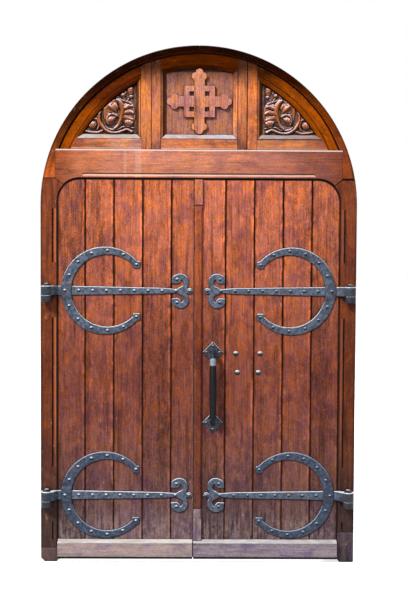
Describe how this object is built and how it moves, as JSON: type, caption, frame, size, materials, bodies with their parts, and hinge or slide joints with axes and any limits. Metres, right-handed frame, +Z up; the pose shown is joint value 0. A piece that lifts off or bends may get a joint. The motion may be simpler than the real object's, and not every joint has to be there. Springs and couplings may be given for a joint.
{
  "type": "arched double door",
  "caption": "Arched oak double door: boarded leaves on forged strap hinges with crescents and scrolls, in a frame with a panelled head, pull handle and bolts.",
  "frame": {"origin": "middle of the doorway on the floor, in the plane of the frame's outer face", "axes": "+Z up, -Y out of the face with the ironwork, +X to the right for someone who looks at that face"},
  "size_m": [1.692, 0.2165, 2.774],
  "materials": {
    "frame_oak": "worn orange-brown varnish on oak",
    "panel_oak": "worn red-brown varnish on oak",
    "leaf_oak": "worn red-brown varnish on oak boards, greyer towards the bottom",
    "inner_oak": "dull brown oak",
    "weathered_oak": "bare grey-brown weathered oak",
    "painted_iron": "worn blue-grey paint on forged iron",
    "black_iron": "blackened iron"
  },
  "bodies": {
    "frame": {"left_jamb": "frame_oak", "right_jamb": "frame_oak", "left_foot_block": "frame_oak", "right_foot_block": "frame_oak", "arch_left": "frame_oak", "arch_right": "frame_oak", "transom": "frame_oak", "centre_stiles": "frame_oak", "centre_top_rail": "frame_oak", "centre_bottom_rail": "frame_oak", "centre_panel": "panel_oak", "cross": "panel_oak", "left_curved_stile": "frame_oak", "right_curved_stile": "frame_oak", "left_upright": "frame_oak", "right_upright": "frame_oak", "left_bottom_rail": "frame_oak", "right_bottom_rail": "frame_oak", "left_carved_panel": "panel_oak", "right_carved_panel": "panel_oak", "upper_left_pintle": "painted_iron", "lower_left_pintle": "painted_iron", "upper_right_pintle": "painted_iron", "lower_right_pintle": "painted_iron"},
    "left_leaf": {"left_board_1": "leaf_oak", "left_board_2": "leaf_oak", "left_board_3": "leaf_oak", "left_board_4": "leaf_oak", "left_board_5": "leaf_oak", "left_ledges": "inner_oak", "left_braces": "inner_oak", "left_weatherboard": "weathered_oak", "left_upper_strap": "painted_iron", "left_lower_strap": "painted_iron", "left_upper_crescent": "painted_iron", "left_lower_crescent": "painted_iron", "left_nails": "painted_iron", "draw_bolt_keep": "black_iron", "rod_bolt_plates": "black_iron"},
    "right_leaf": {"right_board_1": "leaf_oak", "right_board_2": "leaf_oak", "right_board_3": "leaf_oak", "right_board_4": "leaf_oak", "right_board_5": "leaf_oak", "right_ledges": "inner_oak", "right_braces": "inner_oak", "right_weatherboard": "weathered_oak", "meeting_strip": "leaf_oak", "right_upper_strap": "painted_iron", "right_lower_strap": "painted_iron", "right_upper_crescent": "painted_iron", "right_lower_crescent": "painted_iron", "right_nails": "painted_iron", "pull_grip": "black_iron", "pull_plates": "painted_iron", "coach_bolts": "black_iron", "draw_bolt_plate": "black_iron"},
    "draw_bolt": {"draw_bolt": "black_iron"},
    "top_bolt": {"top_bolt": "black_iron"},
    "foot_bolt": {"foot_bolt": "black_iron"}
  },
  "joints": [
    {"name": "left_leaf_swing", "type": "hinge", "parent": "frame", "child": "left_leaf", "pos_m": [-0.81, -0.0315, 0], "axis": [0, 0, 1], "range_deg": [-105, 0]},
    {"name": "right_leaf_swing", "type": "hinge", "parent": "frame", "child": "right_leaf", "pos_m": [0.81, -0.0315, 0], "axis": [0, 0, 1], "range_deg": [0, 105]},
    {"name": "draw_bolt_slide", "type": "slide", "parent": "right_leaf", "child": "draw_bolt", "axis": [-1, 0, 0], "range_m": [0, 0.075]},
    {"name": "top_bolt_slide", "type": "slide", "parent": "left_leaf", "child": "top_bolt", "axis": [0, 0, 1], "range_m": [0, 0.05]},
    {"name": "foot_bolt_slide", "type": "slide", "parent": "left_leaf", "child": "foot_bolt", "axis": [0, 0, -1], "range_m": [0, 0.05]}
  ]
}
